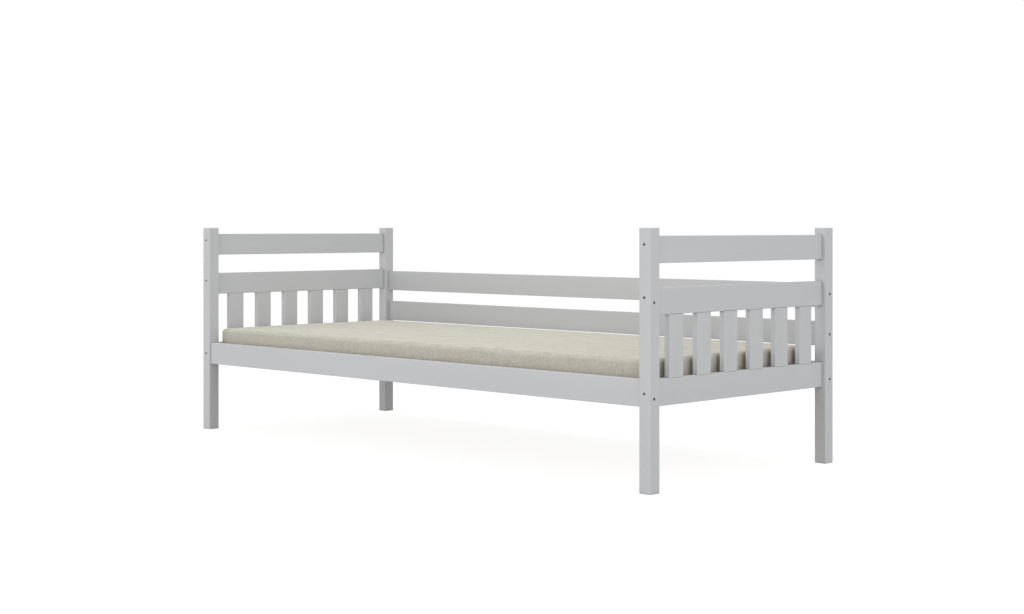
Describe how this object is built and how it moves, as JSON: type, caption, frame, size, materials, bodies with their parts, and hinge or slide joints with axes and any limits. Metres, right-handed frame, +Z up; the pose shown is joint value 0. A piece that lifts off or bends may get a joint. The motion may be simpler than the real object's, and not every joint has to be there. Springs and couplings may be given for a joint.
{
  "type": "kids bed",
  "caption": "Single kids bed with square posts, slatted ends, guard boards along the back, a lift-out slatted base and a soft foam mattress.",
  "frame": {"origin": "on the floor under the middle of the bed", "axes": "+X along the bed to the right end as seen from the open front, +Y to the guarded back, +Z up"},
  "size_m": [2.09, 0.868, 0.72],
  "materials": {
    "painted_wood": "satin light grey paint over softwood",
    "bare_wood": "planed bare softwood",
    "dark_steel": "black oxide",
    "zinc_steel": "zinc plated",
    "webbing": "woven tape",
    "mattress_fabric": "soft knitted cover",
    "mattress_foam": "open cell foam"
  },
  "bodies": {
    "frame": {"post_front_left": "painted_wood", "post_front_right": "painted_wood", "post_back_left": "painted_wood", "post_back_right": "painted_wood", "left_bottom_rail": "painted_wood", "left_middle_rail": "painted_wood", "left_top_rail": "painted_wood", "left_spindle_1": "painted_wood", "left_spindle_2": "painted_wood", "left_spindle_3": "painted_wood", "left_spindle_4": "painted_wood", "left_spindle_5": "painted_wood", "left_spindle_6": "painted_wood", "right_bottom_rail": "painted_wood", "right_middle_rail": "painted_wood", "right_top_rail": "painted_wood", "right_spindle_1": "painted_wood", "right_spindle_2": "painted_wood", "right_spindle_3": "painted_wood", "right_spindle_4": "painted_wood", "right_spindle_5": "painted_wood", "right_spindle_6": "painted_wood", "front_side_rail": "painted_wood", "back_side_rail": "painted_wood", "back_guard_lower": "painted_wood", "back_guard_upper": "painted_wood", "front_slat_cleat": "bare_wood", "back_slat_cleat": "bare_wood", "end_rail_bolts": "dark_steel", "side_rail_bolts": "dark_steel", "end_rail_inserts": "zinc_steel", "side_rail_inserts": "zinc_steel", "end_rail_dowels": "bare_wood", "side_rail_dowels": "bare_wood", "cleat_screws": "zinc_steel"},
    "slat_base": {"bed_slat_01": "bare_wood", "bed_slat_02": "bare_wood", "bed_slat_03": "bare_wood", "bed_slat_04": "bare_wood", "bed_slat_05": "bare_wood", "bed_slat_06": "bare_wood", "bed_slat_07": "bare_wood", "bed_slat_08": "bare_wood", "bed_slat_09": "bare_wood", "bed_slat_10": "bare_wood", "bed_slat_11": "bare_wood", "bed_slat_12": "bare_wood", "bed_slat_13": "bare_wood", "front_slat_tape": "webbing", "back_slat_tape": "webbing"},
    "mattress": {"mattress_cover": "mattress_fabric", "mattress_core": "mattress_foam"}
  },
  "joints": [
    {"name": "slat_base_lift", "type": "slide", "parent": "frame", "child": "slat_base", "axis": [0, 0, 1], "range_m": [0, 0.5]},
    {"name": "mattress_lift", "type": "slide", "parent": "slat_base", "child": "mattress", "axis": [0, 0, 1], "range_m": [0, 0.5]}
  ]
}
